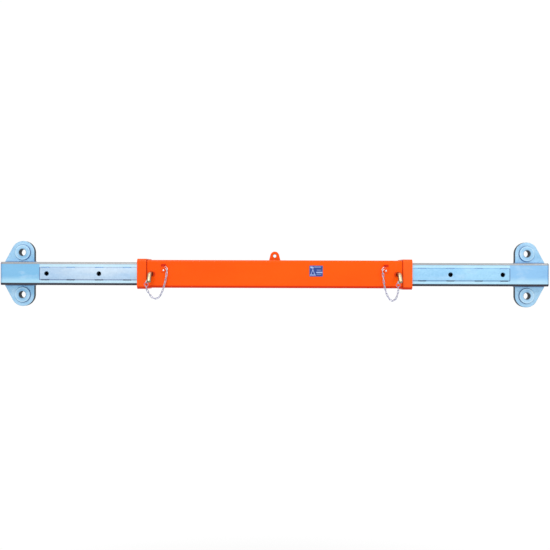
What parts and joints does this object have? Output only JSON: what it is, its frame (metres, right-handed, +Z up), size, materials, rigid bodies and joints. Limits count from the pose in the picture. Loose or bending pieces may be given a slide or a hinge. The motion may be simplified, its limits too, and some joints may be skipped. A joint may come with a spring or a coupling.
{
  "type": "telescopic spreader beam",
  "caption": "Telescopic lifting spreader beam: square tube with sliding square arms, upper and lower shackle eyes at each end, and bent locking pins on chains.",
  "frame": {"origin": "on the beam's long axis at mid length, level with the centre of the square tube", "axes": "+X along the beam towards the right arm, -Y out of the face with the locking pins, +Z up towards the handling lug"},
  "size_m": [2.36, 0.1758, 0.284],
  "materials": {
    "orange_paint": "gloss orange enamel over welded steel",
    "galvanised": "hot-dip galvanised",
    "zinc_yellow": "yellow passivated zinc plate",
    "steel_chain": "bright zinc plate",
    "rivet": "plain dome head",
    "label_blue": "printed adhesive film"
  },
  "bodies": {
    "beam": {"outer_tube": "orange_paint", "collar_left": "orange_paint", "collar_right": "orange_paint", "handling_lug": "orange_paint", "rating_label": "label_blue", "chain_bracket_left": "orange_paint", "chain_bracket_right": "orange_paint", "bracket_rivet_left": "rivet", "bracket_rivet_right": "rivet", "chain_left": "steel_chain", "chain_right": "steel_chain"},
    "arm_left": {"arm_tube_left": "galvanised", "arm_cap_left": "galvanised", "strip_front_left": "galvanised", "strip_back_left": "galvanised", "strip_top_left": "galvanised", "strip_bottom_left": "galvanised", "eye_plate_upper_left": "galvanised", "eye_plate_lower_left": "galvanised", "boss_front_upper_left": "galvanised", "boss_back_upper_left": "galvanised", "boss_front_lower_left": "galvanised", "boss_back_lower_left": "galvanised"},
    "arm_right": {"arm_tube_right": "galvanised", "arm_cap_right": "galvanised", "strip_front_right": "galvanised", "strip_back_right": "galvanised", "strip_top_right": "galvanised", "strip_bottom_right": "galvanised", "eye_plate_upper_right": "galvanised", "eye_plate_lower_right": "galvanised", "boss_front_upper_right": "galvanised", "boss_back_upper_right": "galvanised", "boss_front_lower_right": "galvanised", "boss_back_lower_right": "galvanised"},
    "pin_left": {"locking_pin_left": "zinc_yellow", "pin_loop_left": "steel_chain", "pin_ring_left": "steel_chain"},
    "pin_right": {"locking_pin_right": "zinc_yellow", "pin_loop_right": "steel_chain", "pin_ring_right": "steel_chain"}
  },
  "joints": [
    {"name": "arm_left_slide", "type": "slide", "parent": "beam", "child": "arm_left", "axis": [1, 0, 0], "range_m": [0, 0.45]},
    {"name": "arm_right_slide", "type": "slide", "parent": "beam", "child": "arm_right", "axis": [-1, 0, 0], "range_m": [0, 0.45]},
    {"name": "pin_left_pull", "type": "slide", "parent": "beam", "child": "pin_left", "axis": [0, -1, 0], "range_m": [-0.0145, 0.025]},
    {"name": "pin_right_pull", "type": "slide", "parent": "beam", "child": "pin_right", "axis": [0, -1, 0], "range_m": [-0.0145, 0.025]}
  ]
}
